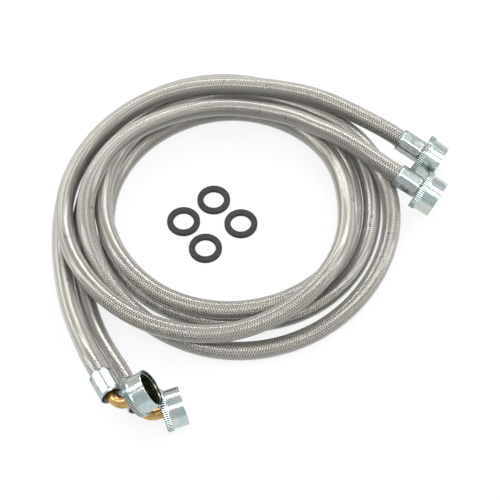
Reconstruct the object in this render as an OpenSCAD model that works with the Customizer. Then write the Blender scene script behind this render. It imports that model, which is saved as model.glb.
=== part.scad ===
// Pair of braided washing machine supply hoses, laid in one loose coil, with four hose washers.
// Each hose has a straight swivel nut on one end and a bent brass elbow with a swivel nut on the other.
// Millimetres. The floor is Z = 0, +Z is up, and the origin is below the middle of the whole set.

/* [Hose] */
// Outside diameter of the clear jacket
jacket_d = 14; // [12:0.5:14]
// Wall of the clear jacket
jacket_wall = 0.5; // [0.4:0.1:0.8]
// Thickness of the wire braid
braid_wall = 0.6; // [0.4:0.1:0.8]
// Bore of the rubber liner
liner_bore = 9; // [8.2:0.1:9.4]
// Gap between one layer and the next
layer_gap = 0.05; // [0.03:0.01:0.1]

/* [Swivel nut] */
// Length of the nut
nut_len = 16.5; // [14:0.5:18]
// Outside diameter of the nut's shell
shell_d = 29.3; // [28.8:0.1:30.4]
// Inside diameter at the bottom of the hose thread
thread_d = 27.2; // [27:0.1:27.4]
// Diameter of the grip ring at the back of the nut
grip_d = 32.2; // [31:0.2:33]
// Length of the grip ring
grip_len = 5; // [4:0.5:8]
// Thickness of the nut's back wall
nut_back = 1.5; // [1:0.1:2]
// Gap round the collar that the nut turns on
swivel_gap = 0.1; // [0.05:0.01:0.1]
// Gap round and behind the flange, which lets the nut turn
flange_gap = 0.2; // [0.1:0.05:0.4]

/* [Stems] */
// Diameter of the sealing flange inside the nut
flange_d = 24.6; // [23:0.2:25]
// Thickness of the sealing flange
flange_t = 2; // [1.5:0.1:2.5]
// Diameter of the collar that the nut turns on
collar_d = 12; // [11:0.2:13]
// Gap between a stem and the liner's bore
stem_gap = 0.08; // [0.05:0.01:0.1]
// Water way through the stems
stem_bore = 6; // [5:0.1:6.6]
// Outside diameter of the bent brass tube
tube_d = 9; // [8.4:0.1:10]

/* [Elbow] */
// Angle that the tube turns through
elbow_turn = 80; // [75:1:90]
// Radius of the bend, to the middle of the tube
elbow_r = 11; // [10:0.5:14]
// Straight tube between the ferrule's rim and the bend
elbow_lead = 1; // [0.5:0.5:3]
// Straight tube between the bend and the back of the nut
elbow_tail = 3.5; // [3:0.5:6]

/* [Ferrules] */
// Outside diameter of the crimped sleeve
ferrule_d = 17.8; // [17:0.1:18.2]
// Gap between the sleeve and the jacket
ferrule_gap = 0.1; // [0.05:0.01:0.15]
// Length of the sleeve on the straight end
ferrule_len = 19; // [17:0.5:20]
// Length of the sleeve on the elbow end
cup_len = 20; // [18:0.5:21]
// Depth of the open cup beyond the hose on the elbow end
cup_depth = 5; // [4:0.5:6]
// Depth of the crimped flats
crimp_depth = 0.4; // [0.2:0.05:0.6]
// Number of crimped flats
crimps = 8; // [6:1:10]
// Thickness of the sleeve's end wall
ferrule_end = 1.5; // [1:0.1:2]
// Gap between the nut and the sleeve
nut_gap = 0.5; // [0.4:0.1:1]

/* [Washers] */
// Outside diameter
washer_d = 25.4; // [25:0.1:26]
// Hole through the washer
washer_hole = 15.9; // [15:0.1:17]
// Thickness
washer_t = 3.2; // [2.8:0.1:3.6]

/* [Hidden] */
$fn = 72;

// Middle of the coil on the floor
coil_x = -20.5;
coil_y = 28.5;

// The lay of each hose: bearing round the coil in degrees, radius from its middle, height of the
// hose's middle. Bearings grow by 360 a turn, anticlockwise from above, from the straight end.
lay_a = [[45, 121, 35.5], [60, 112.5, 36], [90, 105.5, 35], [120, 110.5, 32.5], [150, 118, 26],
         [180, 124, 22.5], [210, 123.5, 25.5], [240, 121.5, 27], [270, 114.5, 25], [300, 104.5, 29],
         [330, 97, 29.5], [360, 91, 22.5], [390, 94, 19], [420, 96.5, 13.5], [450, 100, 7.5],
         [480, 96, 7.3], [510, 93.5, 7.2], [540, 92.5, 7.2], [570, 93, 7.2], [600, 93, 7.2],
         [630, 94, 7.2], [660, 101.5, 7.2], [690, 107.5, 7.2], [720, 111.5, 7.2], [750, 118, 7.2],
         [780, 125, 7.2], [810, 129, 7.2], [840, 128, 7.2], [870, 124, 7.2], [892, 125, 8.4],
         [912, 128.5, 9], [926, 135.5, 14], [938, 147, 21.5], [948, 159.5, 28.5]];
lay_b = [[30, 106, 35.5], [45, 96.5, 32], [60, 93.5, 28.5], [90, 92.5, 25], [120, 90, 31],
         [150, 97, 36], [180, 107, 31], [210, 109, 20], [240, 113.5, 12], [270, 119.5, 8],
         [300, 122.5, 7.2], [330, 124, 8], [360, 127, 13.5], [390, 121, 22], [420, 109.5, 21.5],
         [450, 107.5, 20], [480, 103, 19.5], [510, 98.5, 20.7], [540, 94, 21.5], [570, 91.5, 21.5],
         [600, 92, 21.5], [630, 92.5, 21.5], [660, 93, 19], [690, 95, 14.5], [720, 97, 9],
         [750, 103.5, 7.2], [780, 110, 7.2], [810, 114.5, 7.2], [840, 113.5, 7.2], [870, 109.5, 7.2],
         [895, 110, 7.2], [912, 114, 7.2], [926, 121, 7.8], [938, 131, 8.4], [950, 144.5, 10.6]];

// Straight ends: middle of the nut's mouth, then heading and pitch of its axis in degrees
straight_a = [[143.5, 73.5, 14], -29, -17];
straight_b = [[140.5, 36, 20], -29, -17];
// Elbow ends: middle of the ferrule's rim, heading of the level ferrule, and how far the bend
// leans up from level, in degrees
elbow_a = [[-102, -143.5, 33], -62, 31];
elbow_b = [[-83, -141.5, 14.2], -64, 8];
// Middles of the four loose washers
washers = [[-30.5, 48.5], [-53.5, 28.5], [-9.5, 26.5], [-36.5, 4]];

// Hose sweep: sides of the tube, spacing of the points that keep its ends straight, and the
// part of a lay step from one ring to the next
hose_sides = 10;
end_step = 16;
ring_step = 0.75;
// Radii of the layers
jacket_r = jacket_d / 2;
braid_r = jacket_r - jacket_wall - layer_gap;
liner_r = braid_r - braid_wall - layer_gap;
liner_bore_r = liner_bore / 2;
// A swept tube's flats lie nearer its middle than its corners
flat_ratio = cos(180 / hose_sides);
stem_r = liner_bore_r * flat_ratio - stem_gap;
// Depths below a straight nut's mouth
straight_hose_depth = nut_len + nut_gap + ferrule_end + layer_gap * 4;
straight_ferrule_depth = nut_len + nut_gap + ferrule_len;
// Depth of the flange's front face below a nut's mouth
seat_depth = nut_len - nut_back - flange_gap - flange_t;

function heading_dir(heading, pitch) =
    [cos(heading) * cos(pitch), sin(heading) * cos(pitch), sin(pitch)];
function on_lay(p) = [coil_x + p[1] * cos(p[0]), coil_y + p[1] * sin(p[0]), p[2]];
function unit(v) = v / norm(v);

// Points that a hose follows: a straight run inside each fitting, and the lay between them
function route_points(straight, lay, elbow) =
    let (n = heading_dir(straight[1], straight[2]), f = heading_dir(elbow[1], 0))
    concat([for (k = [-2:1]) straight[0] - n * (straight_ferrule_depth + k * end_step)],
           [for (p = lay) on_lay(p)],
           [for (k = [1:-1:-2]) elbow[0] - f * (cup_len + k * end_step)]);

// The smooth curve leans towards the middle of its control points, so each control point is
// moved out by a sixth of its second difference. The straight runs stay as they are.
function lifted(p) = [for (i = [0:len(p) - 1])
    i < 4 || i > len(p) - 5 ? p[i] : p[i] - (p[i - 1] - 2 * p[i] + p[i + 1]) / 6];
function curve_at(q, t) =
    let (i = min(floor(t), len(q) - 3), u = t - i)
    ((1 - u) ^ 3 * q[i - 1] + (3 * u ^ 3 - 6 * u ^ 2 + 4) * q[i]
     + (1 + 3 * u + 3 * u ^ 2 - 3 * u ^ 3) * q[i + 1] + u ^ 3 * q[i + 2]) / 6;

// Middles of the rings that the tube is swept through, from one end face to the other
function ring_middles(straight, lay, elbow) =
    let (q = lifted(route_points(straight, lay, elbow)),
         last = len(q) - 3,
         quarter = search(90, [for (p = lay) p[0]])[0] + 4,
         n = heading_dir(straight[1], straight[2]),
         f = heading_dir(elbow[1], 0))
    concat([straight[0] - n * straight_hose_depth],
           [for (t = [2, 3]) curve_at(q, t)],
           [for (t = [quarter - ring_step * floor((quarter - 3.7) / ring_step):ring_step:last - 1.3]) curve_at(q, t)],
           [for (t = [last - 1, last]) curve_at(q, t)],
           [elbow[0] - f * cup_depth]);

function ring(c, dir, r) =
    let (side = unit(cross(dir, [0, 0, 1])), up = cross(side, dir))
    [for (k = [0:hose_sides - 1])
        let (a = 90 + k * 360 / hose_sides) c + r * (cos(a) * side + sin(a) * up)];
function direction(m, i) = unit(m[min(i + 1, len(m) - 1)] - m[max(i - 1, 0)]);

// One layer of a hose, as a closed tube
module hose_layer(middles, outer_r, inner_r) {
    rings = len(middles);
    s = hose_sides;
    points = [for (r = [outer_r, inner_r], i = [0:rings - 1]) each ring(middles[i], direction(middles, i), r)];
    inner = rings * s;
    walls = [for (i = [0:rings - 2], k = [0:s - 1])
        let (a = i * s + k, b = i * s + (k + 1) % s)
        each [[a, a + s, b], [b, a + s, b + s],
              [inner + a, inner + b, inner + a + s], [inner + b, inner + b + s, inner + a + s]]];
    caps = [for (k = [0:s - 1])
        let (a = k, b = (k + 1) % s, e = (rings - 1) * s)
        each [[a, b, inner + a], [b, inner + b, inner + a],
              [e + a, inner + e + a, e + b], [e + b, inner + e + a, inner + e + b]]];
    polyhedron(points, concat(walls, caps), convexity = 20);
}

// Frames: a straight end's +Z leaves the nut's mouth, an elbow end's +Z leaves the ferrule's rim
// and its +X is the side that the tube bends to
module at_straight(end) {
    translate(end[0]) rotate([0, 90 - end[2], end[1]]) children();
}
module at_elbow(end) {
    translate(end[0]) rotate([0, 90, end[1]]) rotate(90 + end[2]) children();
}
// From the elbow's rim frame to the frame of the nut's mouth
module at_elbow_nut() {
    translate([elbow_r, 0, elbow_lead]) rotate([0, elbow_turn, 0])
        translate([-elbow_r, 0, elbow_tail + nut_len]) children();
}

module swivel_nut() {
    edge = 0.6;
    shell_r = shell_d / 2;
    grip_r = grip_d / 2;
    color("#c9cdcc")
    rotate_extrude() polygon([
        [collar_d / 2 + swivel_gap, -nut_len], [grip_r - edge, -nut_len], [grip_r, -nut_len + edge],
        [grip_r, -nut_len + grip_len - edge], [grip_r - edge, -nut_len + grip_len],
        [shell_r, -nut_len + grip_len], [shell_r, -edge / 2], [shell_r - edge / 2, 0],
        [thread_d / 2 + edge / 4, 0], [thread_d / 2, -edge / 2], [thread_d / 2, -seat_depth],
        [flange_d / 2 + flange_gap, -seat_depth], [flange_d / 2 + flange_gap, nut_back - nut_len], [collar_d / 2 + swivel_gap, nut_back - nut_len]]);
}

// Flange and collar that hold a nut, in the frame of the nut's mouth
module nut_seat(behind) {
    translate([0, 0, -seat_depth - flange_t]) cylinder(h = flange_t, d = flange_d);
    translate([0, 0, -nut_len - behind]) cylinder(h = behind + nut_back + flange_gap * 2, d = collar_d);
}

// Barbed shank that the hose is pushed on, from z = 0 down
module barbs(length) {
    barb_len = 3;
    count = floor((length - 1) / barb_len);
    root_r = stem_r - 0.35;
    translate([0, 0, -length]) cylinder(h = length, r = root_r);
    for (k = [1:count])
        translate([0, 0, -k * barb_len]) cylinder(h = barb_len * 0.7, r1 = root_r, r2 = stem_r);
}

module straight_stem() {
    reach = nut_gap + ferrule_len - 1;
    color("#b98d3e")
    difference() {
        union() {
            nut_seat(nut_gap + ferrule_end);
            translate([0, 0, -nut_len - nut_gap - ferrule_end]) barbs(reach - nut_gap - ferrule_end);
        }
        translate([0, 0, -nut_len - reach - 1]) cylinder(h = nut_len + reach + 1, d = stem_bore);
    }
}

// Crimped flats, for a sleeve whose outside runs from z = 0 down by length
module crimp_cuts(length) {
    lip = 2;
    flat_r = ferrule_d / 2 - crimp_depth;
    for (k = [0:crimps - 1])
        rotate(k * 360 / crimps)
            translate([flat_r, -ferrule_d / 2, -length + lip]) cube([ferrule_d, ferrule_d, length - lip * 2]);
}

module straight_ferrule() {
    inner_r = jacket_r + ferrule_gap;
    edge = 0.5;
    outer_r = ferrule_d / 2;
    color("#c4c8c6")
    translate([0, 0, -nut_len - nut_gap])
    difference() {
        rotate_extrude() polygon([
            [collar_d / 2 + layer_gap, 0], [outer_r - edge, 0], [outer_r, -edge],
            [outer_r, edge - ferrule_len], [outer_r - edge, -ferrule_len], [inner_r, -ferrule_len],
            [inner_r, -ferrule_end], [collar_d / 2 + layer_gap, -ferrule_end]]);
        crimp_cuts(ferrule_len);
    }
}

// Bent tube with its shank, bend, collar and flange, in the frame of the ferrule's rim
module elbow_tube() {
    shank = cup_len - cup_depth - 1;
    color("#c08a35")
    difference() {
        union() {
            translate([0, 0, -cup_depth]) barbs(shank);
            translate([0, 0, -cup_depth + layer_gap]) cylinder(h = cup_depth + elbow_lead - layer_gap, d = tube_d);
            elbow_bend(tube_d);
            at_elbow_nut() translate([0, 0, -nut_len - elbow_tail])
                cylinder(h = elbow_tail + nut_back, d = tube_d);
            at_elbow_nut() nut_seat(nut_gap);
        }
        translate([0, 0, -cup_depth - shank - 1]) cylinder(h = cup_depth + shank + 1 + elbow_lead, d = stem_bore);
        elbow_bend(stem_bore);
        at_elbow_nut() translate([0, 0, -nut_len - elbow_tail])
            cylinder(h = nut_len + elbow_tail, d = stem_bore);
    }
}
module elbow_bend(d) {
    translate([elbow_r, 0, elbow_lead]) rotate([90, 0, 0]) rotate(180) mirror([0, 1, 0])
        rotate_extrude(angle = elbow_turn) translate([elbow_r, 0]) circle(d = d);
}

module elbow_ferrule() {
    inner_r = jacket_r + ferrule_gap;
    outer_r = ferrule_d / 2;
    rim_r = outer_r + 0.3;
    flare = 1.8;
    edge = 0.5;
    wall = 0.9;
    color("#c4c8c6")
    difference() {
        rotate_extrude() polygon([
            [inner_r, -cup_len], [outer_r - edge, -cup_len], [outer_r, edge - cup_len],
            [outer_r, -flare], [rim_r, -edge], [rim_r - edge / 2, 0], [rim_r - wall, 0],
            [outer_r - wall - 0.3, -flare], [inner_r, -flare * 2]]);
        translate([0, 0, -flare]) crimp_cuts(cup_len - flare);
    }
}

module washer(k) {
    edge = 0.3;
    color("#2e2f2b")
    translate([washers[k][0], washers[k][1], 0])
    rotate_extrude() polygon([
        [washer_hole / 2, 0], [washer_d / 2 - edge, 0], [washer_d / 2, edge],
        [washer_d / 2, washer_t - edge], [washer_d / 2 - edge, washer_t], [washer_hole / 2, washer_t]]);
}

middles_a = ring_middles(straight_a, lay_a, elbow_a);
middles_b = ring_middles(straight_b, lay_b, elbow_b);

module hose_a_liner() { color("#26282a") hose_layer(middles_a, liner_r, liner_bore_r); }
module hose_a_braid() { color("#9d9a94") hose_layer(middles_a, braid_r, liner_r + layer_gap); }
module hose_a_jacket() { color("#b9b5ad") hose_layer(middles_a, jacket_r, braid_r + layer_gap); }
module straight_stem_a() { at_straight(straight_a) straight_stem(); }
module straight_ferrule_a() { at_straight(straight_a) straight_ferrule(); }
module straight_nut_a() { at_straight(straight_a) swivel_nut(); }
module elbow_tube_a() { at_elbow(elbow_a) elbow_tube(); }
module elbow_ferrule_a() { at_elbow(elbow_a) elbow_ferrule(); }
module elbow_nut_a() { at_elbow(elbow_a) at_elbow_nut() swivel_nut(); }

module hose_b_liner() { color("#26282a") hose_layer(middles_b, liner_r, liner_bore_r); }
module hose_b_braid() { color("#9d9a94") hose_layer(middles_b, braid_r, liner_r + layer_gap); }
module hose_b_jacket() { color("#b9b5ad") hose_layer(middles_b, jacket_r, braid_r + layer_gap); }
module straight_stem_b() { at_straight(straight_b) straight_stem(); }
module straight_ferrule_b() { at_straight(straight_b) straight_ferrule(); }
module straight_nut_b() { at_straight(straight_b) swivel_nut(); }
module elbow_tube_b() { at_elbow(elbow_b) elbow_tube(); }
module elbow_ferrule_b() { at_elbow(elbow_b) elbow_ferrule(); }
module elbow_nut_b() { at_elbow(elbow_b) at_elbow_nut() swivel_nut(); }

hose_a_liner();
hose_a_braid();
hose_a_jacket();
straight_stem_a();
straight_ferrule_a();
straight_nut_a();
elbow_tube_a();
elbow_ferrule_a();
elbow_nut_a();
hose_b_liner();
hose_b_braid();
hose_b_jacket();
straight_stem_b();
straight_ferrule_b();
straight_nut_b();
elbow_tube_b();
elbow_ferrule_b();
elbow_nut_b();
washer(0);  // washer_1
washer(1);  // washer_2
washer(2);  // washer_3
washer(3);  // washer_4
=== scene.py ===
import math

import bpy
from mathutils import Matrix, Vector


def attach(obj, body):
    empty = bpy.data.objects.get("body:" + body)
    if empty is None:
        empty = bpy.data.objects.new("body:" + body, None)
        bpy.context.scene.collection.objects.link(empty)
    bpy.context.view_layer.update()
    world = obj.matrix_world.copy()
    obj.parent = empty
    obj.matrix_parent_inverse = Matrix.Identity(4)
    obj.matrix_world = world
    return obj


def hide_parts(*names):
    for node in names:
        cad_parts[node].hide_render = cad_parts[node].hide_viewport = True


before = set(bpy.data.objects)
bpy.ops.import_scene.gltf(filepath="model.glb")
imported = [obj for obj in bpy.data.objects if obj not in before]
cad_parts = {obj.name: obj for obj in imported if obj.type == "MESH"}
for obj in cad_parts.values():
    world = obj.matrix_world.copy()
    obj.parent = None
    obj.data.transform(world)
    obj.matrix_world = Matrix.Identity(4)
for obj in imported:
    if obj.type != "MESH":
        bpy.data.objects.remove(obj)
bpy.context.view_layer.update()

bl_info = {
    "name": "Braided Hose Set",
    "version": (1, 0, 0),
    "blender": (4, 5, 0),
    "location": "3D View > Sidebar > Hose Set",
    "description": "Finishes a coiled pair of braided supply hoses with swivel nuts and washers",
    "category": "Object",
}

MM = 0.001
UP = Vector((0.0, 0.0, 1.0))

# The lay of each hose, as in the part's source: bearing round the coil in degrees, radius from
# its middle and height of the hose's middle, in millimetres
COIL_MIDDLE = (-20.5, 28.5)
LAYS = {
    "a": ((45, 121, 35.5), (60, 112.5, 36), (90, 105.5, 35), (120, 110.5, 32.5), (150, 118, 26),
          (180, 124, 22.5), (210, 123.5, 25.5), (240, 121.5, 27), (270, 114.5, 25),
          (300, 104.5, 29), (330, 97, 29.5), (360, 91, 22.5), (390, 94, 19), (420, 96.5, 13.5),
          (450, 100, 7.5), (480, 96, 7.3), (510, 93.5, 7.2), (540, 92.5, 7.2), (570, 93, 7.2),
          (600, 93, 7.2), (630, 94, 7.2), (660, 101.5, 7.2), (690, 107.5, 7.2),
          (720, 111.5, 7.2), (750, 118, 7.2), (780, 125, 7.2), (810, 129, 7.2), (840, 128, 7.2),
          (870, 124, 7.2), (892, 125, 8.4), (912, 128.5, 9), (926, 135.5, 14), (938, 147, 21.5),
          (948, 159.5, 28.5)),
    "b": ((30, 106, 35.5), (45, 96.5, 32), (60, 93.5, 28.5), (90, 92.5, 25), (120, 90, 31),
          (150, 97, 36), (180, 107, 31), (210, 109, 20), (240, 113.5, 12), (270, 119.5, 8),
          (300, 122.5, 7.2), (330, 124, 8), (360, 127, 13.5), (390, 121, 22), (420, 109.5, 21.5),
          (450, 107.5, 20), (480, 103, 19.5), (510, 98.5, 20.7), (540, 94, 21.5),
          (570, 91.5, 21.5), (600, 92, 21.5), (630, 92.5, 21.5), (660, 93, 19), (690, 95, 14.5),
          (720, 97, 9), (750, 103.5, 7.2), (780, 110, 7.2), (810, 114.5, 7.2),
          (840, 113.5, 7.2), (870, 109.5, 7.2), (895, 110, 7.2), (912, 114, 7.2),
          (926, 121, 7.8), (938, 131, 8.4), (950, 144.5, 10.6)),
}
# Straight ends: middle of the nut's mouth, heading and pitch of its axis
STRAIGHT_ENDS = {"a": ((143.5, 73.5, 14), -29, -17), "b": ((140.5, 36, 20), -29, -17)}
# Elbow ends: middle of the ferrule's rim, heading of the ferrule, lean of the bend up from level
ELBOW_ENDS = {"a": ((-102, -143.5, 33), -62, 31), "b": ((-83, -141.5, 14.2), -64, 8)}
WASHER_MIDDLES = ((-30.5, 48.5), (-53.5, 28.5), (-9.5, 26.5), (-36.5, 4))

# Sizes that the fittings share with the part's source, in millimetres
NUT_LENGTH = 16.5
NUT_BACK = 1.5
GRIP_LENGTH = 5
SEAT_DEPTH = 12.8
NUT_HOLE_RADIUS = 6.1
NUT_HOLLOW_RADIUS = 12.5
FERRULE_LENGTH = 19
CUP_LENGTH = 20
CUP_DEPTH = 5
ELBOW_TURN = 80
ELBOW_RADIUS = 11
ELBOW_LEAD = 1
ELBOW_TAIL = 3.5
STRAIGHT_HOSE_DEPTH = 18.7
END_STEP = 16
WASHER_HEIGHT = 3.2

# Details that only the finished pieces have, in metres where they are lengths
ROUTE_SPACING = 0.0022
STEPS_IN_SPAN = 24  # points worked out between two control points of the lay
CROWN_HEIGHT = 0.00012  # rise of a ribbon's middle over its edges
STEPS_IN_CROSSING = 6.0  # lengths of ribbon drawn from one crossing to the next
CORE_SIDES = 24
JACKET_SIDES = 32
NUT_SIDES = 96
NUT_CORNER = 0.00045
TOOTH_HEIGHT = 0.0004
TOOTH_SINK = 1.9  # depth of a tooth's middle under the grip's outside, in tooth heights
TOOTH_SHARE = 0.52  # part of the grip's girth that each tooth takes
TOOTH_ROUND = 0.62  # radius of a tooth for its width
MOUTH_EASE = 0.0001
THREAD_RUNOUT = 0.0015  # length of the hollow that has no thread
THREAD_RISE = 0.0006  # from the seat to the middle of the first turn
RIDGE_SINK = 0.30  # depth of the ridge's middle under the hollow's wall, for its depth
RIDGE_RADIUS = 0.72
RIDGE_TAPER = 14.0  # how fast the ridge fades out at its ends
RIDGE_END = 0.12
WASHER_SIDES = 72
WASHER_CORNER = 0.0006
FLOOR_REACH = 6.0
FLOOR_DROP = 0.0002

# The nut's map runs in metres along its outline, and this brings it into a ramp's 0 to 1
NUT_MAP_SCALE = 18.0
# A place on that map on the plain shell, where no shade is painted, for the teeth
OUTSIDE_MAP = 0.03


class HoseSizes(bpy.types.PropertyGroup):
    """Sizes of the hose's layers"""
    jacket_diameter: bpy.props.FloatProperty(
        name="Jacket diameter", description="Outside of the clear jacket",
        default=0.014, min=0.01, max=0.02, unit="LENGTH", precision=4)
    braid_radius: bpy.props.FloatProperty(
        name="Braid radius", description="Middle of the woven layer",
        default=0.00615, min=0.004, max=0.009, unit="LENGTH", precision=5)
    liner_radius: bpy.props.FloatProperty(
        name="Liner radius", description="Outside of the rubber liner",
        default=0.0058, min=0.003, max=0.008, unit="LENGTH", precision=5)
    carriers: bpy.props.IntProperty(
        name="Carriers", description="Ribbons wound each way",
        default=8, min=4, max=24)
    lead: bpy.props.FloatProperty(
        name="Lead", description="Length of hose in one turn of a ribbon",
        default=0.0154, min=0.01, max=0.08, unit="LENGTH", precision=4)
    ribbon_width: bpy.props.FloatProperty(
        name="Ribbon width", description="Width of one flat ribbon of wires",
        default=0.0014, min=0.0005, max=0.004, unit="LENGTH", precision=5)
    weave_depth: bpy.props.FloatProperty(
        name="Weave depth", description="How far a ribbon rises and dips as it crosses the others",
        default=0.00026, min=0.0, max=0.0005, unit="LENGTH", precision=5)
    sections: bpy.props.IntProperty(
        name="Sections", description="Pieces that the braid of one hose is made in",
        default=4, min=1, max=8)


class FittingSizes(bpy.types.PropertyGroup):
    """Sizes of the nuts and washers"""
    shell_diameter: bpy.props.FloatProperty(
        name="Shell diameter", description="Outside of the nut's plain shell",
        default=0.0293, min=0.02, max=0.04, unit="LENGTH", precision=4)
    grip_diameter: bpy.props.FloatProperty(
        name="Grip diameter", description="Over the teeth of the grip ring",
        default=0.0322, min=0.02, max=0.045, unit="LENGTH", precision=4)
    grip_teeth: bpy.props.IntProperty(
        name="Grip teeth", description="Teeth round the grip ring", default=60, min=12, max=96)
    thread_diameter: bpy.props.FloatProperty(
        name="Thread diameter", description="Bottom of the hose thread",
        default=0.0272, min=0.02, max=0.035, unit="LENGTH", precision=4)
    thread_pitch: bpy.props.FloatProperty(
        name="Thread pitch", description="Distance between neighbouring turns of the thread",
        default=0.00221, min=0.001, max=0.004, unit="LENGTH", precision=5)
    thread_depth: bpy.props.FloatProperty(
        name="Thread depth", description="Height of the thread's ridge",
        default=0.0011, min=0.0004, max=0.002, unit="LENGTH", precision=5)
    washer_diameter: bpy.props.FloatProperty(
        name="Washer diameter", description="Outside of a loose washer",
        default=0.0254, min=0.02, max=0.03, unit="LENGTH", precision=4)
    washer_hole: bpy.props.FloatProperty(
        name="Washer hole", description="Hole through a loose washer",
        default=0.0159, min=0.008, max=0.02, unit="LENGTH", precision=4)


class Finishes(bpy.types.PropertyGroup):
    """Colours of the materials"""
    zinc: bpy.props.FloatVectorProperty(
        name="Zinc", description="Bright zinc on the nuts", subtype="COLOR", size=3,
        default=(0.62, 0.64, 0.63), min=0.0, max=1.0)
    brass: bpy.props.FloatVectorProperty(
        name="Brass", description="Elbow tubes and stems", subtype="COLOR", size=3,
        default=(0.58, 0.44, 0.25), min=0.0, max=1.0)
    wire: bpy.props.FloatVectorProperty(
        name="Wire", description="Stainless wires of the braid", subtype="COLOR", size=3,
        default=(0.97, 0.955, 0.92), min=0.0, max=1.0)
    jacket: bpy.props.FloatVectorProperty(
        name="Jacket", description="Milky tint of the clear jacket", subtype="COLOR", size=3,
        default=(0.88, 0.865, 0.82), min=0.0, max=1.0)
    rubber: bpy.props.FloatVectorProperty(
        name="Rubber", description="Washers", subtype="COLOR", size=3,
        default=(0.020, 0.021, 0.018), min=0.0, max=1.0)
    floor: bpy.props.FloatVectorProperty(
        name="Floor", description="Plain floor", subtype="COLOR", size=3,
        default=(0.14, 0.14, 0.14), min=0.0, max=1.0)


class View(bpy.types.PropertyGroup):
    """Camera and lights"""
    elevation: bpy.props.FloatProperty(
        name="Elevation", description="Camera's height above level", subtype="ANGLE",
        default=math.radians(57), min=0.0, max=math.radians(89))
    distance: bpy.props.FloatProperty(
        name="Distance", description="Camera's distance from its target", unit="LENGTH",
        default=2.0, min=0.3, max=10.0)
    target: bpy.props.FloatVectorProperty(
        name="Target", description="Point that the camera looks at", subtype="XYZ", size=3,
        unit="LENGTH", default=(-0.0025, 0.0035, 0.0))
    lens: bpy.props.FloatProperty(
        name="Lens", description="Focal length on a 36 mm sensor, in millimetres",
        default=188.6, min=20.0, max=400.0)
    light: bpy.props.FloatProperty(
        name="Light", description="Scales every lamp", default=1.0, min=0.1, max=5.0)
    floor_glow: bpy.props.FloatProperty(
        name="Floor glow", description="Light that comes through the floor from below",
        default=0.82, min=0.0, max=5.0)
    surround: bpy.props.FloatProperty(
        name="Surround", description="Brightness of the studio around the set",
        default=0.72, min=0.0, max=3.0)


# ---------------------------------------------------------------- node graphs

class Value:
    """A number socket; arithmetic on it adds Math nodes to its graph"""

    def __init__(self, graph, socket):
        self.graph = graph
        self.socket = socket

    def __add__(self, other):
        return self.graph.maths("ADD", self, other)

    __radd__ = __add__

    def __sub__(self, other):
        return self.graph.maths("SUBTRACT", self, other)

    def __rsub__(self, other):
        return self.graph.maths("SUBTRACT", other, self)

    def __mul__(self, other):
        return self.graph.maths("MULTIPLY", self, other)

    __rmul__ = __mul__

    def __truediv__(self, other):
        return self.graph.maths("DIVIDE", self, other)

    def __rtruediv__(self, other):
        return self.graph.maths("DIVIDE", other, self)

    def __pow__(self, other):
        return self.graph.maths("POWER", self, other)


class Graph:
    """Adds nodes to one node tree"""

    def __init__(self, tree):
        self.tree = tree

    def node(self, kind, settings=None, **inputs):
        """A node of that type, with its settings made first, then its sockets' values or links"""
        made = self.tree.nodes.new(kind)
        for name, value in (settings or {}).items():
            if name == "ramp":
                stops = made.color_ramp.elements
                while len(stops) < len(value):
                    stops.new(1.0)
                for stop, (position, colour) in zip(stops, value):
                    stop.position = position
                    stop.color = colour
            else:
                setattr(made, name, value)
        for name, value in inputs.items():
            key = int(name[1:]) if name[0] == "_" and name[1:].isdigit() else name.replace("_", " ")
            self.feed(made.inputs[key], value)
        return made

    def feed(self, socket, value):
        """Links the value to the socket, or sets it"""
        if isinstance(value, Value):
            value = value.socket
        if isinstance(value, bpy.types.NodeSocket):
            self.tree.links.new(value, socket)
        else:
            socket.default_value = value

    def value(self, node, output=0):
        return Value(self, node.outputs[output])

    def maths(self, operation, *terms):
        terms = {f"_{i}": term for i, term in enumerate(terms)}
        return self.value(self.node("ShaderNodeMath", {"operation": operation}, **terms))

    def vectors(self, operation, *terms):
        terms = {f"_{i}": term for i, term in enumerate(terms)}
        return self.value(self.node("ShaderNodeVectorMath", {"operation": operation}, **terms))

    def scaled(self, vector, factor):
        """The vector times a number"""
        return self.value(self.node("ShaderNodeVectorMath", {"operation": "SCALE"},
                                    _0=vector, Scale=factor))

    def store(self, geometry, name, kind, domain, value):
        """The geometry with the value stored on it under that name"""
        made = self.node("GeometryNodeStoreNamedAttribute", {"data_type": kind, "domain": domain},
                         Geometry=geometry, Name=name)
        self.feed(next(s for s in made.inputs if s.name == "Value" and s.enabled), value)
        return made.outputs[0]

    def stored(self, name):
        """The number stored under that name"""
        return self.value(self.node("GeometryNodeInputNamedAttribute", {"data_type": "FLOAT"},
                                    Name=name))


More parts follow.
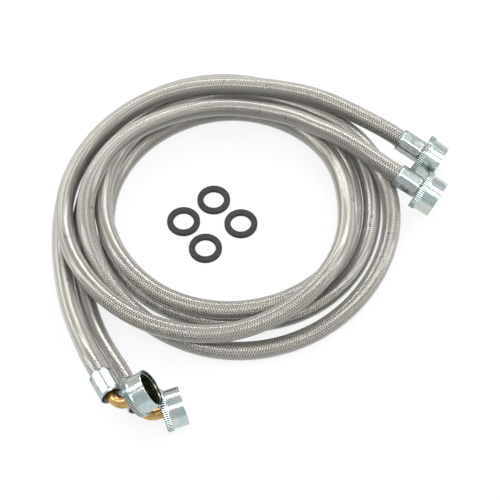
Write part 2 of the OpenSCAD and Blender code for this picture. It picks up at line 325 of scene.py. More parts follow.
class Finish(Graph):
    """A material with one principled shader"""

    def __init__(self, name, **constants):
        self.material = bpy.data.materials.new(name)
        self.material.use_nodes = True
        super().__init__(self.material.node_tree)
        self.shader = self.tree.nodes["Principled BSDF"]
        self.end = self.tree.nodes["Material Output"]
        for socket, value in constants.items():
            self.shader.inputs[socket.replace("_", " ")].default_value = value

    def set(self, socket, value):
        self.feed(self.shader.inputs[socket], value)

    def place(self):
        """Place on the piece, in metres"""
        return self.node("ShaderNodeTexCoord").outputs["Object"]

    def surface_map(self):
        """(across, along) from the piece's own map"""
        own_map = self.node("ShaderNodeUVMap").outputs["UV"]
        split = self.node("ShaderNodeSeparateXYZ", Vector=own_map)
        return self.value(split, "X"), self.value(split, "Y")

    def noise(self, scale, detail=3.0, roughness=0.5, where=None):
        made = self.node("ShaderNodeTexNoise", Vector=where or self.place(), Scale=scale,
                         Detail=detail, Roughness=roughness)
        return self.value(made, "Fac")

    def ramp(self, factor, *stops):
        return self.node("ShaderNodeValToRGB", {"ramp": stops}, Fac=factor).outputs["Color"]

    def mix(self, factor, first, second, blend="MIX"):
        made = self.node("ShaderNodeMix", {"data_type": "RGBA", "blend_type": blend})
        self.feed(made.inputs["Factor"], factor)
        self.feed(made.inputs[6], first)
        self.feed(made.inputs[7], second)
        return made.outputs[2]

    def bump(self, height, distance, strength):
        made = self.node("ShaderNodeBump", Height=height, Distance=distance, Strength=strength)
        self.set("Normal", made.outputs["Normal"])


def opaque(colour, scale=1.0):
    return (*(c * scale for c in colour), 1.0)


def zinc_finish(colour):
    """Bright zinc: turned lines, blue, green and pink passivation, handling marks, with painted
    shade inside the nut and on the ring under the grip teeth
    """
    finish = Finish("bright_zinc", Metallic=1.0)
    cloud = finish.noise(75.0, 2.0)
    tint = finish.ramp(cloud, (0.30, (0.84, 0.93, 0.84, 1.0)), (0.46, (0.97, 1.0, 0.97, 1.0)),
                       (0.58, (0.74, 0.93, 0.96, 1.0)), (0.70, (1.0, 0.86, 0.88, 1.0)))
    marks = finish.noise(900.0, 4.0, 0.6)
    shade = finish.ramp(marks, (0.25, (0.74, 0.75, 0.74, 1.0)), (0.6, (1.0, 1.0, 1.0, 1.0)))
    around, along = finish.surface_map()
    # The map runs from the back wall's inside, over the thread, the mouth at 22.5 mm and the
    # shell, to the ring under the grip teeth at 36 to 41 mm
    # The ramp below paints shade: dark olive over the nut's inside, from the back wall over the
    # thread to the mouth, and a dark band on the ring under the grip teeth, where the teeth shade
    # it
    unshaded = (1.0, 1.0, 1.0, 1.0)
    painted_root_shade = (0.30, 0.32, 0.30, 1.0)
    painted_shade = finish.ramp(along * NUT_MAP_SCALE, (0.33, (0.30, 0.31, 0.26, 1.0)), (0.41, unshaded),
                       (0.645, unshaded), (0.655, painted_root_shade), (0.735, painted_root_shade), (0.745, unshaded))
    colour = finish.mix(1.0, opaque(colour), tint, "MULTIPLY")
    colour = finish.mix(1.0, colour, painted_shade, "MULTIPLY")
    finish.set("Base Color", finish.mix(1.0, colour, shade, "MULTIPLY"))
    finish.set("Roughness", 0.12 + 0.14 * marks)
    lines = finish.noise(1.0, 2.0, 0.6, finish.node("ShaderNodeCombineXYZ", X=around * 3.0,
                                                    Y=along * 5200.0).outputs[0])
    finish.bump(lines + marks * 0.5, 0.00003, 0.35)
    return finish.material


def ferrule_finish(colour):
    """Zinc on the crimped sleeves, duller, with die marks"""
    finish = Finish("crimped_zinc", Metallic=1.0)
    cloud = finish.noise(160.0, 4.0, 0.6)
    tint = finish.ramp(cloud, (0.32, (0.48, 0.52, 0.49, 1.0)), (0.50, (0.70, 0.75, 0.74, 1.0)),
                       (0.62, (0.62, 0.71, 0.77, 1.0)), (0.76, (0.86, 0.92, 0.92, 1.0)))
    finish.set("Base Color", finish.mix(1.0, opaque(colour), tint, "MULTIPLY"))
    finish.set("Roughness", 0.16 + 0.22 * cloud)
    finish.bump(finish.noise(1500.0, 3.0, 0.6), 0.00005, 0.4)
    return finish.material


def brass_finish(colour):
    """Yellow brass with heat stains and a drawn surface"""
    finish = Finish("stained_brass", Metallic=1.0)
    stain = finish.noise(190.0, 4.0, 0.62)
    tint = finish.ramp(stain, (0.32, (0.30, 0.29, 0.20, 1.0)), (0.45, (0.86, 0.82, 0.56, 1.0)),
                       (0.55, (0.92, 0.66, 0.50, 1.0)), (0.68, (0.84, 0.42, 0.32, 1.0)))
    finish.set("Base Color", finish.mix(1.0, opaque(colour), tint, "MULTIPLY"))
    finish.set("Roughness", 0.20 + 0.24 * finish.noise(420.0, 3.0))
    finish.bump(finish.noise(2100.0, 2.0), 0.00003, 0.35)
    return finish.material


def wire_finish(colour):
    """Stainless wires lying side by side in each ribbon of the braid, with painted shade between
    the wires and at the ribbons' edges
    """
    finish = Finish("braid_wires", Metallic=0.6)
    across, _ = finish.surface_map()
    wires = finish.maths("SINE", across * (math.tau * 5.0)) * 0.5 + 0.5
    from_middle = finish.maths("ABSOLUTE", across - 0.5) * 2.0
    tone = finish.noise(55.0, 2.0)
    # Painted shade in the creases between neighbouring wires
    shade = finish.ramp(wires, (0.0, (0.60, 0.59, 0.57, 1.0)), (0.55, (1.0, 1.0, 1.0, 1.0)))
    # Painted shade towards each ribbon's edges, where it tucks under its neighbours
    edge = finish.ramp(from_middle, (0.35, (1.0, 1.0, 1.0, 1.0)),
                       (0.95, (0.26, 0.26, 0.25, 1.0)))
    warm = finish.ramp(tone, (0.35, (0.94, 0.94, 0.95, 1.0)), (0.65, (1.0, 0.98, 0.94, 1.0)))
    colour = finish.mix(1.0, opaque(colour), shade, "MULTIPLY")
    colour = finish.mix(1.0, colour, edge, "MULTIPLY")
    finish.set("Base Color", finish.mix(1.0, colour, warm, "MULTIPLY"))
    finish.set("Roughness", 0.24 + 0.10 * tone)
    finish.bump(wires, 0.0001, 0.5)
    return finish.material


def jacket_finish(colour):
    """Clear soft plastic: see-through face on, milky and glossy at its edges"""
    finish = Finish("clear_jacket", Roughness=0.25, IOR=1.5)
    cloud = finish.noise(240.0, 3.0)
    finish.set("Base Color", finish.mix(cloud, opaque(colour), opaque(colour, 0.9)))
    finish.set("Roughness", 0.20 + 0.10 * cloud)
    finish.bump(finish.noise(700.0, 2.0), 0.00005, 0.25)
    clear = finish.node("ShaderNodeBsdfTransparent", Color=(0.97, 0.96, 0.94, 1.0))
    gloss = finish.node("ShaderNodeBsdfGlossy", Color=(1.0, 1.0, 1.0, 1.0), Roughness=0.10)
    edge = finish.value(finish.node("ShaderNodeLayerWeight", Blend=0.32), "Facing")
    milky = edge ** 1.8 * 0.75 + 0.04
    body = finish.node("ShaderNodeMixShader")
    finish.feed(body.inputs[0], milky)
    finish.feed(body.inputs[1], clear.outputs[0])
    finish.feed(body.inputs[2], finish.shader.outputs[0])
    shine = finish.value(finish.node("ShaderNodeFresnel", IOR=1.5), 0)
    skin = finish.node("ShaderNodeMixShader")
    finish.feed(skin.inputs[0], shine)
    finish.feed(skin.inputs[1], body.outputs[0])
    finish.feed(skin.inputs[2], gloss.outputs[0])
    finish.feed(finish.end.inputs["Surface"], skin.outputs[0])
    return finish.material


def liner_finish():
    """Dark liner glimpsed between the ribbons"""
    finish = Finish("liner_rubber", Roughness=0.6)
    shade = finish.noise(800.0, 3.0)
    finish.set("Base Color", finish.ramp(shade, (0.3, (0.09, 0.088, 0.08, 1.0)),
                                         (0.7, (0.15, 0.145, 0.135, 1.0))))
    finish.set("Roughness", 0.5 + 0.2 * shade)
    return finish.material


def washer_finish(colour):
    """Moulded black rubber with a faint bloom"""
    finish = Finish("washer_rubber", Specular_IOR_Level=0.25)
    bloom = finish.noise(260.0, 5.0, 0.65)
    tint = finish.ramp(bloom, (0.35, opaque(colour)), (0.75, opaque(colour, 1.8)))
    finish.set("Base Color", tint)
    finish.set("Roughness", 0.55 + 0.25 * bloom)
    finish.bump(finish.noise(1900.0, 3.0, 0.6), 0.00006, 0.5)
    return finish.material


# ---------------------------------------------------------------- routes and places

def heading_vector(heading, pitch=0.0):
    heading, pitch = math.radians(heading), math.radians(pitch)
    return Vector((math.cos(heading) * math.cos(pitch), math.sin(heading) * math.cos(pitch),
                   math.sin(pitch)))


def on_lay(bearing, radius, height):
    bearing = math.radians(bearing)
    return Vector((COIL_MIDDLE[0] + radius * math.cos(bearing),
                   COIL_MIDDLE[1] + radius * math.sin(bearing), height))


def hose_points(hose):
    """Control points of a hose, in millimetres: a straight run in each fitting, the lay between"""
    mouth, heading, pitch = STRAIGHT_ENDS[hose]
    rim, rim_heading, _ = ELBOW_ENDS[hose]
    out = heading_vector(heading, pitch)
    down = heading_vector(rim_heading)
    ferrule_back = NUT_LENGTH + 0.5 + FERRULE_LENGTH
    first = [Vector(mouth) - out * (ferrule_back + k * END_STEP) for k in (-2, -1, 0, 1)]
    last = [Vector(rim) - down * (CUP_LENGTH + k * END_STEP) for k in (1, 0, -1, -2)]
    return first + [on_lay(*spot) for spot in LAYS[hose]] + last


def smooth_route(hose):
    """Points close together along the hose's middle, from one end face to the other, in metres"""
    per_step = STEPS_IN_SPAN
    points = hose_points(hose)
    lifted = list(points)
    for i in range(4, len(points) - 4):
        lifted[i] = points[i] - (points[i - 1] - 2 * points[i] + points[i + 1]) / 6
    mouth, heading, pitch = STRAIGHT_ENDS[hose]
    rim, rim_heading, _ = ELBOW_ENDS[hose]
    route = [Vector(mouth) - heading_vector(heading, pitch) * STRAIGHT_HOSE_DEPTH]
    last = len(lifted) - 3
    for step in range(2 * per_step, last * per_step + 1):
        i = min(step // per_step, last)
        u = step / per_step - i
        route.append(((1 - u) ** 3 * lifted[i - 1] + (3 * u ** 3 - 6 * u ** 2 + 4) * lifted[i]
                      + (1 + 3 * u + 3 * u ** 2 - 3 * u ** 3) * lifted[i + 1]
                      + u ** 3 * lifted[i + 2]) / 6)
    route.append(Vector(rim) - heading_vector(rim_heading) * CUP_DEPTH)
    return even_points([p * MM for p in route], ROUTE_SPACING)


def even_points(points, spacing):
    """The same line with points the same distance apart"""
    lengths = [0.0]
    for a, b in zip(points, points[1:]):
        lengths.append(lengths[-1] + (b - a).length)
    count = max(2, round(lengths[-1] / spacing))
    even = []
    k = 0
    for i in range(count + 1):
        want = lengths[-1] * i / count
        while k < len(points) - 2 and lengths[k + 1] < want:
            k += 1
        share = (want - lengths[k]) / max(lengths[k + 1] - lengths[k], 1e-12)
        even.append(points[k].lerp(points[k + 1], min(max(share, 0.0), 1.0)))
    return even


def route_length(route):
    return sum((b - a).length for a, b in zip(route, route[1:]))


def place_of(origin, forward):
    """Matrix whose +Z is forward and whose +X is as near to straight up as it can be"""
    z = forward.normalized()
    x = (UP - z * UP.dot(z)).normalized()
    y = z.cross(x)
    return Matrix.Translation(origin * MM) @ Matrix((x, y, z)).transposed().to_4x4()


def nut_places():
    """Place of each nut's mouth, with +Z out of it"""
    places = {}
    for hose in "ab":
        mouth, heading, pitch = STRAIGHT_ENDS[hose]
        places[f"straight_nut_{hose}"] = place_of(Vector(mouth), heading_vector(heading, pitch))
        rim, heading, lean = ELBOW_ENDS[hose]
        ahead = heading_vector(heading)
        lean, turn = math.radians(lean), math.radians(ELBOW_TURN)
        side = heading_vector(heading + 90) * math.cos(lean) + UP * math.sin(lean)
        out = ahead * math.cos(turn) + side * math.sin(turn)
        bend_end = (Vector(rim) + ahead * (ELBOW_LEAD + ELBOW_RADIUS * math.sin(turn))
                    + side * (ELBOW_RADIUS * (1 - math.cos(turn))))
        places[f"elbow_nut_{hose}"] = place_of(bend_end + out * (ELBOW_TAIL + NUT_LENGTH), out)
    return places


# ---------------------------------------------------------------- meshes

def add_piece(name, mesh, body, material, smooth_angle=None):
    """A finished piece that rides on a body"""
    piece = bpy.data.objects.new(name, mesh)
    bpy.context.scene.collection.objects.link(piece)
    mesh.materials.clear()
    mesh.materials.append(material)
    if smooth_angle is None:
        mesh.shade_smooth()
    else:
        mesh.shade_flat()
        piece.data.set_sharp_from_angle(angle=smooth_angle)
        for polygon in mesh.polygons:
            polygon.use_smooth = True
    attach(piece, body)
    return piece


def build_mesh(name, points, faces, uvs=None):
    """A mesh, with one map point for each face corner where uvs are given"""
    mesh = bpy.data.meshes.new(name)
    mesh.from_pydata(points, [], faces)
    if uvs:
        layer = mesh.uv_layers.new(name="map")
        layer.data.foreach_set("uv", [c for uv in uvs for c in uv])
    mesh.validate()
    mesh.update()
    return mesh


def tube_mesh(name, route, radius, sides):
    """A smooth tube along a route, with (across, along) as its map"""
    points, faces, uvs = [], [], []
    count = len(route)
    for i, middle in enumerate(route):
        ahead = (route[min(i + 1, count - 1)] - route[max(i - 1, 0)]).normalized()
        side = ahead.cross(UP).normalized()
        up = side.cross(ahead)
        for k in range(sides):
            angle = math.tau * k / sides
            points.append(middle + radius * (math.cos(angle) * side + math.sin(angle) * up))
    step = (route[1] - route[0]).length
    for i in range(count - 1):
        for k in range(sides):
            n = (k + 1) % sides
            faces.append((i * sides + k, (i + 1) * sides + k, (i + 1) * sides + n, i * sides + n))
            uvs += [(k / sides, i * step), (k / sides, (i + 1) * step),
                    ((k + 1) / sides, (i + 1) * step), ((k + 1) / sides, i * step)]
    faces.append(tuple(range(sides)))
    faces.append(tuple(range((count - 1) * sides, count * sides))[::-1])
    uvs += [(0.5, 0.0)] * (2 * sides)
    return build_mesh(name, points, faces, uvs)


def turned_mesh(name, profile, sides, place):
    """A closed profile of (radius, height) turned about the place's +Z"""
    points, faces, uvs = [], [], []
    rows = len(profile)
    for k in range(sides):
        angle = math.tau * k / sides
        for radius, height in profile:
            spot = Vector((radius * math.cos(angle), radius * math.sin(angle), height))
            points.append(place @ spot)
    runs = [0.0]
    for (r0, h0), (r1, h1) in zip(profile, profile[1:] + profile[:1]):
        runs.append(runs[-1] + math.hypot(r1 - r0, h1 - h0))
    for k in range(sides):
        n = (k + 1) % sides
        for j in range(rows):
            m = (j + 1) % rows
            faces.append((k * rows + j, n * rows + j, n * rows + m, k * rows + m))
            uvs += [(k / sides, runs[j]), ((k + 1) / sides, runs[j]),
                    ((k + 1) / sides, runs[j + 1]), (k / sides, runs[j + 1])]
    return build_mesh(name, points, faces, uvs)


def line_object(points):
    """A curve through the points, for a tree to work on"""
    line = bpy.data.curves.new("line", "CURVE")
    line.dimensions = "3D"
    spline = line.splines.new("POLY")
    spline.points.add(len(points) - 1)
    for point, middle in zip(spline.points, points):
        point.co = (*middle, 1.0)
    made = bpy.data.objects.new("line", line)
    bpy.context.scene.collection.objects.link(made)
    return made


def rounded(profile, radius, steps=4):
    """The closed profile with its corners rounded"""
    out = []
    count = len(profile)
    for i, corner in enumerate(profile):
        corner = Vector(corner)
        before = Vector(profile[i - 1])
        after = Vector(profile[(i + 1) % count])
        to_before, to_after = before - corner, after - corner
        reach = min(radius, to_before.length * 0.45, to_after.length * 0.45)
        start = corner + to_before.normalized() * reach
        end = corner + to_after.normalized() * reach
        for k in range(steps + 1):
            t = k / steps
            out.append(tuple((1 - t) ** 2 * start + 2 * t * (1 - t) * corner + t ** 2 * end))
    return out


# ---------------------------------------------------------------- geometry nodes

def new_tree(name, inputs):
    """A geometry tree with named inputs: (graph, group input node, name to identifier)"""
    tree = bpy.data.node_groups.new(name, "GeometryNodeTree")
    tree.interface.new_socket("Geometry", in_out="INPUT", socket_type="NodeSocketGeometry")
    tree.interface.new_socket("Geometry", in_out="OUTPUT", socket_type="NodeSocketGeometry")
    names = {}
    for label, kind in inputs:
        made = tree.interface.new_socket(label, in_out="INPUT", socket_type=kind)
        names[label] = made.identifier
    graph = Graph(tree)
    return graph, graph.node("NodeGroupInput"), names


def bake(source, tree, values, name):
    """The result of the tree on the source object, as a plain mesh"""
    modifier = source.modifiers.new("make", "NODES")
    modifier.node_group = tree
    for identifier, value in values.items():
        modifier[identifier] = value
    source.update_tag()
    view = bpy.context.evaluated_depsgraph_get()
    mesh = bpy.data.meshes.new_from_object(source.evaluated_get(view), depsgraph=view)
    mesh.name = name
    source.modifiers.remove(modifier)
    bpy.data.objects.remove(source)
    return mesh


def braid_tree():
    """Flat ribbons of wire wound both ways along a curve, over and under each other"""
    graph, inputs, names = new_tree("Woven Braid", (
        ("Carriers", "NodeSocketInt"), ("Lead", "NodeSocketFloat"), ("Radius", "NodeSocketFloat"),
        ("Ribbon Width", "NodeSocketFloat"), ("Weave Depth", "NodeSocketFloat"),
        ("Start", "NodeSocketFloat"), ("Material", "NodeSocketMaterial")))
    value = lambda label: Value(graph, inputs.outputs[label])
    length = graph.value(graph.node("GeometryNodeCurveLength", Curve=inputs.outputs["Geometry"]))
    carriers, lead, radius = value("Carriers"), value("Lead"), value("Radius")
    steps = graph.maths("ROUND", length / lead * carriers * STEPS_IN_CROSSING)
    grid = graph.node("GeometryNodeMeshGrid", Size_X=1.0, Size_Y=1.0, Vertices_X=steps + 1.0,
                      Vertices_Y=4)
    points = graph.node("GeometryNodePoints", Count=carriers * 2.0)
    copies = graph.node("GeometryNodeInstanceOnPoints", Points=points.outputs[0],
                        Instance=grid.outputs["Mesh"])
    marked = graph.store(copies.outputs[0], "carrier", "FLOAT", "INSTANCE",
                         graph.node("GeometryNodeInputIndex").outputs[0])
    ribbons = graph.node("GeometryNodeRealizeInstances", Geometry=marked)
    carrier = graph.stored("carrier")
    flat = graph.node("GeometryNodeInputPosition").outputs[0]
    split = graph.node("ShaderNodeSeparateXYZ", Vector=flat)
    run = (graph.value(split, "X") + 0.5) * length
    row = graph.maths("ROUND", (graph.value(split, "Y") + 0.5) * 3.0)
    way = graph.maths("MODULO", carrier, 2.0) * 2.0 - 1.0
    spool = graph.maths("FLOOR", carrier / 2.0)
    # Rows 0 and 3 are the same edge, row 1 is the crown, and row 2 is the other edge, so each
    # ribbon is a closed three-sided strip
    crown = graph.maths("COMPARE", row, 1.0, 0.1)
    far_edge = graph.maths("COMPARE", row, 2.0, 0.1)
    across = far_edge + crown * 0.5 - 0.5
    travel = (run + value("Start")) / lead
    wave = graph.maths("COSINE", travel * carriers * math.tau)
    slant = graph.maths("SQRT", (radius / lead * math.tau) ** 2.0 + 1.0)
    width_angle = across * value("Ribbon Width") * slant / radius
    angle = way * travel * math.tau + spool / carriers * math.tau + width_angle
    height = radius + way * wave * value("Weave Depth") + crown * CROWN_HEIGHT
    sample = graph.node("GeometryNodeSampleCurve", {"mode": "LENGTH", "use_all_curves": False},
                        Curves=inputs.outputs["Geometry"], Length=run)
    tangent = sample.outputs["Tangent"]
    side = graph.vectors("NORMALIZE", graph.vectors("CROSS_PRODUCT", tangent, (0.0, 0.0, 1.0)))
    rise = graph.vectors("CROSS_PRODUCT", side, tangent)
    arm = graph.vectors("ADD", graph.scaled(side, graph.maths("COSINE", angle)),
                        graph.scaled(rise, graph.maths("SINE", angle)))
    spot = graph.vectors("ADD", sample.outputs["Position"], graph.scaled(arm, height))
    # Both halves of the map are worked out on the flat strip, so they are stored before it moves
    kept = graph.store(ribbons.outputs[0], "across", "FLOAT", "POINT", across + 0.5)
    kept = graph.store(kept, "along", "FLOAT", "POINT", run)
    moved = graph.node("GeometryNodeSetPosition", Geometry=kept, Position=spot)
    both = graph.node("ShaderNodeCombineXYZ", X=graph.stored("across"), Y=graph.stored("along"))
    mapped = graph.store(moved.outputs[0], "map", "FLOAT2", "CORNER", both.outputs[0])
    finish = graph.node("GeometryNodeSetMaterial", Geometry=mapped,
                        Material=inputs.outputs["Material"])
    graph.node("NodeGroupOutput", Geometry=finish.outputs[0])
    return graph.tree, names


def nut_tree():
    """Adds grip teeth and the hose thread to a plain turned nut"""
    graph, inputs, names = new_tree("Grip And Thread", (
        ("Teeth", "NodeSocketInt"), ("Grip Radius", "NodeSocketFloat"),
        ("Grip Length", "NodeSocketFloat"), ("Grip Start", "NodeSocketFloat"),
        ("Thread Radius", "NodeSocketFloat"), ("Thread Pitch", "NodeSocketFloat"),
        ("Thread Depth", "NodeSocketFloat"), ("Thread Length", "NodeSocketFloat"),
        ("Thread Start", "NodeSocketFloat"), ("Material", "NodeSocketMaterial")))
    value = lambda label: Value(graph, inputs.outputs[label])
    teeth = value("Teeth")
    ring = graph.node("GeometryNodeCurvePrimitiveCircle", {"mode": "RADIUS"}, Resolution=teeth,
                      Radius=value("Grip Radius"))
    spots = graph.node("GeometryNodeCurveToPoints", {"mode": "EVALUATED"}, Curve=ring.outputs[0])
    width = value("Grip Radius") / teeth * (math.tau * TOOTH_SHARE)
    tooth = graph.node("GeometryNodeMeshCone", Vertices=8, Radius_Top=width * TOOTH_ROUND,
                       Radius_Bottom=width * TOOTH_ROUND, Depth=value("Grip Length"))
    turned = graph.node("GeometryNodeInstanceOnPoints", Points=spots.outputs["Points"],
                        Instance=tooth.outputs["Mesh"])
    grip_start = graph.node("ShaderNodeCombineXYZ", Z=value("Grip Start")).outputs[0]
    lifted = graph.node("GeometryNodeTransform", Geometry=turned.outputs[0],
                        Translation=grip_start)
    grip = graph.node("GeometryNodeRealizeInstances", Geometry=lifted.outputs[0])
    mapped = graph.store(grip.outputs[0], "map", "FLOAT2", "CORNER",
                         graph.node("ShaderNodeCombineXYZ", Y=OUTSIDE_MAP).outputs[0])
    depth = value("Thread Depth")
    thread_start = graph.node("ShaderNodeCombineXYZ", Z=value("Thread Start")).outputs[0]
    turns = value("Thread Length") / value("Thread Pitch")
    helix = graph.node("GeometryNodeCurveSpiral", Resolution=64, Rotations=turns,
                       Start_Radius=value("Thread Radius") - depth * RIDGE_SINK,
                       End_Radius=value("Thread Radius") - depth * RIDGE_SINK,
                       Height=value("Thread Length"))
    lowered = graph.node("GeometryNodeTransform", Geometry=helix.outputs[0],
                         Translation=thread_start)
    along = graph.value(graph.node("GeometryNodeSplineParameter"), "Factor")
    from_end = graph.maths("MINIMUM", along, 1.0 - along)
    fade = graph.maths("MINIMUM", from_end * RIDGE_TAPER + RIDGE_END, 1.0)
    thin = graph.node("GeometryNodeSetCurveRadius", Curve=lowered.outputs[0], Radius=fade)
    outline = graph.node("GeometryNodeCurvePrimitiveCircle", {"mode": "RADIUS"}, Resolution=6,
                         Radius=depth * RIDGE_RADIUS)
    ridge = graph.node("GeometryNodeCurveToMesh", Curve=thin.outputs[0],
                       Profile_Curve=outline.outputs[0], Scale=fade, Fill_Caps=True)
    joined = graph.node("GeometryNodeJoinGeometry")
    for part in (inputs.outputs["Geometry"], ridge.outputs[0], mapped):
        graph.tree.links.new(part, joined.inputs[0])
    solid = graph.node("GeometryNodeRealizeInstances", Geometry=joined.outputs[0])
    finish = graph.node("GeometryNodeSetMaterial", Geometry=solid.outputs[0],
                        Material=inputs.outputs["Material"])
    graph.node("NodeGroupOutput", Geometry=finish.outputs[0])
    return graph.tree, names


# ---------------------------------------------------------------- operators

class HOSES_OT_camera(bpy.types.Operator):
    """Aim the camera at the coil"""
    bl_idname = "hoses.camera"
    bl_label = "Camera"

    def execute(self, context):
        view = context.scene.hose_set_view
        data = bpy.data.cameras.new("camera")
        data.sensor_width = 36.0
        data.lens = view.lens
        data.clip_end = 20.0
        camera = bpy.data.objects.new("camera", data)
        context.scene.collection.objects.link(camera)
        away = Vector((0.0, -math.cos(view.elevation), math.sin(view.elevation)))
        camera.location = Vector(view.target) + away * view.distance
        camera.rotation_euler = (math.pi / 2 - view.elevation, 0.0, 0.0)
        context.scene.camera = camera
        return {"FINISHED"}


class HOSES_OT_nuts(bpy.types.Operator):
    """Make the four swivel nuts, with their grip teeth and hose thread"""
    bl_idname = "hoses.nuts"
    bl_label = "Swivel Nuts"

    def execute(self, context):
        sizes = context.scene.hose_set_fittings
        material = zinc_finish(context.scene.hose_set_finishes.zinc)
        tree, names = nut_tree()
        shell, grip = sizes.shell_diameter / 2, sizes.grip_diameter / 2
        thread = sizes.thread_diameter / 2
        back, front = -NUT_LENGTH * MM, 0.0
        grip_front = back + GRIP_LENGTH * MM
        wall = back + NUT_BACK * MM
        seat = -SEAT_DEPTH * MM
        hole, hollow = NUT_HOLE_RADIUS * MM, NUT_HOLLOW_RADIUS * MM
        ring = grip - TOOTH_HEIGHT
        outline = rounded([
            (hole, back), (ring, back), (ring, grip_front), (shell, grip_front), (shell, front),
            (thread + MOUTH_EASE, front), (thread, seat), (hollow, seat), (hollow, wall),
            (hole, wall)], NUT_CORNER)
        outline.reverse()
        for node, place in nut_places().items():
            plain = bpy.data.objects.new(
                "plain_nut", turned_mesh(node, outline, NUT_SIDES, Matrix()))
            context.scene.collection.objects.link(plain)
            values = {
                "Teeth": sizes.grip_teeth, "Grip Radius": grip - TOOTH_HEIGHT * TOOTH_SINK,
                "Grip Length": GRIP_LENGTH * MM - 2 * NUT_CORNER,
                "Grip Start": back + NUT_CORNER,
                "Thread Radius": thread, "Thread Pitch": sizes.thread_pitch,
                "Thread Depth": sizes.thread_depth,
                "Thread Length": SEAT_DEPTH * MM - THREAD_RUNOUT,
                "Thread Start": seat + THREAD_RISE, "Material": material}
            mesh = bake(plain, tree, {names[k]: v for k, v in values.items()}, node)
            mesh.transform(place)
            piece = add_piece(f"{node}_threaded", mesh, node, material,
                              math.radians(35))
            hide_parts(node)
        return {"FINISHED"}


class HOSES_OT_fittings(bpy.types.Operator):
    """Finish the ferrules, stems and bent tubes"""
    bl_idname = "hoses.fittings"
    bl_label = "Ferrules And Stems"

    def execute(self, context):
        colours = context.scene.hose_set_finishes
        zinc = ferrule_finish(colours.zinc)
        brass = brass_finish(colours.brass)
        for hose in "ab":
            for name, material in (("straight_ferrule", zinc), ("elbow_ferrule", zinc),
                                   ("straight_stem", zinc), ("elbow_tube", brass)):
                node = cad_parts[f"{name}_{hose}"]
                for slot in node.material_slots:
                    slot.material = material
        return {"FINISHED"}


class HOSES_OT_hoses(bpy.types.Operator):
    """Make the layers of both hoses along their lay"""
    bl_idname = "hoses.hoses"
    bl_label = "Hoses"

    def execute(self, context):
        sizes = context.scene.hose_set_hose
        colours = context.scene.hose_set_finishes
        wire, jacket = wire_finish(colours.wire), jacket_finish(colours.jacket)
        liner = liner_finish()
        tree, names = braid_tree()
        for hose in "ab":
            route = smooth_route(hose)
            core = f"hose_{hose}_core"
            core = add_piece(core, tube_mesh(core, route, sizes.liner_radius, CORE_SIDES),
                             "hoses", liner)
            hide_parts(f"hose_{hose}_liner")
            cover = f"hose_{hose}_cover"
            cover = add_piece(cover, tube_mesh(cover, route, sizes.jacket_diameter / 2,
                                               JACKET_SIDES), "hoses", jacket)
            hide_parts(f"hose_{hose}_jacket")
            parts = [core]
            start = 0.0
            last = len(route) - 1
            for k in range(sizes.sections):
                stretch = route[last * k // sizes.sections:last * (k + 1) // sizes.sections + 1]
                values = {"Carriers": sizes.carriers, "Lead": sizes.lead,
                          "Radius": sizes.braid_radius, "Ribbon Width": sizes.ribbon_width,
                          "Weave Depth": sizes.weave_depth, "Start": start, "Material": wire}
                name = f"hose_{hose}_braid_{k + 1}"
                mesh = bake(line_object(stretch), tree,
                            {names[n]: v for n, v in values.items()}, name)
                braid = add_piece(name, mesh, "hoses", wire)
                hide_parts(f"hose_{hose}_braid")
                parts.append(braid)
                start += route_length(stretch)
            parts += [bpy.data.objects[f"{end}_nut_{hose}_threaded"]
                      for end in ("straight", "elbow")]
            parts += [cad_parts[f"{name}_{hose}"] for name in
                      ("straight_ferrule", "straight_stem", "elbow_ferrule", "elbow_tube")]
            round(route_length(route), 3)
        return {"FINISHED"}


class HOSES_OT_washers(bpy.types.Operator):
    """Make the four loose washers with soft moulded edges"""
    bl_idname = "hoses.washers"
    bl_label = "Washers"

    def execute(self, context):
        sizes = context.scene.hose_set_fittings
        rubber = washer_finish(context.scene.hose_set_finishes.rubber)
        outer, hole, height = sizes.washer_diameter / 2, sizes.washer_hole / 2, WASHER_HEIGHT * MM
        outline = rounded([(hole, 0.0), (outer, 0.0), (outer, height), (hole, height)],
                          WASHER_CORNER, 5)
        outline.reverse()
        for k, (x, y) in enumerate(WASHER_MIDDLES, 1):
            place = Matrix.Translation((x * MM, y * MM, 0.0))
            mesh = turned_mesh(f"washer_{k}_moulded", outline, WASHER_SIDES, place)
            piece = add_piece(f"washer_{k}_moulded", mesh, f"washer_{k}", rubber,
                              math.radians(40))
            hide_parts(f"washer_{k}")
        return {"FINISHED"}


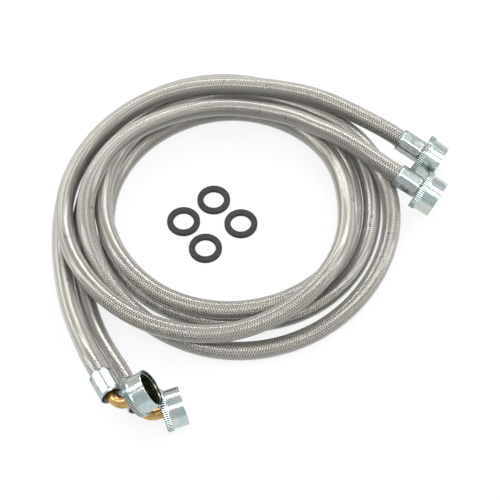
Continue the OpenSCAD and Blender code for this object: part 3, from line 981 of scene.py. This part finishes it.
class HOSES_OT_stage(bpy.types.Operator):
    """Make the pale floor and the soft studio lights"""
    bl_idname = "hoses.stage"
    bl_label = "Stage"

    def execute(self, context):
        view = context.scene.hose_set_view
        reach = FLOOR_REACH
        mesh = build_mesh("floor", [(-reach, -reach, 0), (reach, -reach, 0), (reach, reach, 0),
                                    (-reach, reach, 0)], [(0, 1, 2, 3)])
        floor = bpy.data.objects.new("floor", mesh)
        context.scene.collection.objects.link(floor)
        floor.location.z = -FLOOR_DROP
        paper = Finish("paper", Roughness=0.9, Specular_IOR_Level=0.1,
                       Emission_Color=(1.0, 1.0, 1.0, 1.0), Emission_Strength=view.floor_glow)
        paper.set("Base Color", opaque(context.scene.hose_set_finishes.floor))
        mesh.materials.append(paper.material)
        lamps = (("back_strip", (0.0, 1.15, 1.25), (0.0, 0.0, 0.0), (2.6, 0.30), 22.0),
                 ("front_strip", (0.0, -0.75, 1.7), (0.0, 0.0, 0.0), (2.6, 0.30), 17.0),
                 ("left_box", (-1.5, 0.1, 1.0), (0.0, 0.0, 0.0), (0.35, 2.2), 13.0),
                 ("right_box", (1.5, 0.2, 1.1), (0.0, 0.0, 0.0), (0.35, 2.2), 14.0))
        for name, place, aim, (width, height), power in lamps:
            data = bpy.data.lights.new(name, "AREA")
            data.shape = "RECTANGLE"
            data.size, data.size_y = width, height
            data.energy = power * view.light
            lamp = bpy.data.objects.new(name, data)
            context.scene.collection.objects.link(lamp)
            lamp.location = place
            lamp.rotation_euler = (Vector(aim) - Vector(place)).to_track_quat("-Z", "Y").to_euler()
        world = bpy.data.worlds.new("studio")
        world.use_nodes = True
        sky = world.node_tree.nodes["Background"]
        sky.inputs["Color"].default_value = (1.0, 1.0, 1.0, 1.0)
        sky.inputs["Strength"].default_value = view.surround
        context.scene.world = world
        context.scene.view_settings.view_transform = "Standard"
        return {"FINISHED"}


class HOSES_PT_panel(bpy.types.Panel):
    """Lists the steps and their sizes"""
    bl_idname = "HOSES_PT_panel"
    bl_label = "Hose Set"
    bl_space_type = "VIEW_3D"
    bl_region_type = "UI"
    bl_category = "Hose Set"

    def draw(self, context):
        for group in GROUPS:
            box = self.layout.box()
            box.label(text=GROUPS[group].__doc__)
            settings = getattr(context.scene, group)
            for name in GROUPS[group].__annotations__:
                box.prop(settings, name)
        for step in STEPS:
            self.layout.operator(step.bl_idname)


GROUPS = {"hose_set_hose": HoseSizes, "hose_set_fittings": FittingSizes,
          "hose_set_finishes": Finishes, "hose_set_view": View}
STEPS = (HOSES_OT_camera, HOSES_OT_nuts, HOSES_OT_fittings, HOSES_OT_hoses, HOSES_OT_washers,
         HOSES_OT_stage)


def register():
    for cls in (*GROUPS.values(), *STEPS, HOSES_PT_panel):
        bpy.utils.register_class(cls)
    for name, cls in GROUPS.items():
        setattr(bpy.types.Scene, name, bpy.props.PointerProperty(type=cls))


def unregister():
    for name in GROUPS:
        delattr(bpy.types.Scene, name)
    for cls in (HOSES_PT_panel, *reversed(STEPS), *reversed(list(GROUPS.values()))):
        bpy.utils.unregister_class(cls)


def main():
    register()
    bpy.ops.hoses.camera()
    bpy.ops.hoses.nuts()
    bpy.ops.hoses.fittings()
    bpy.ops.hoses.hoses()
    bpy.ops.hoses.washers()
    bpy.ops.hoses.stage()


if __name__ == "__main__":
    main()
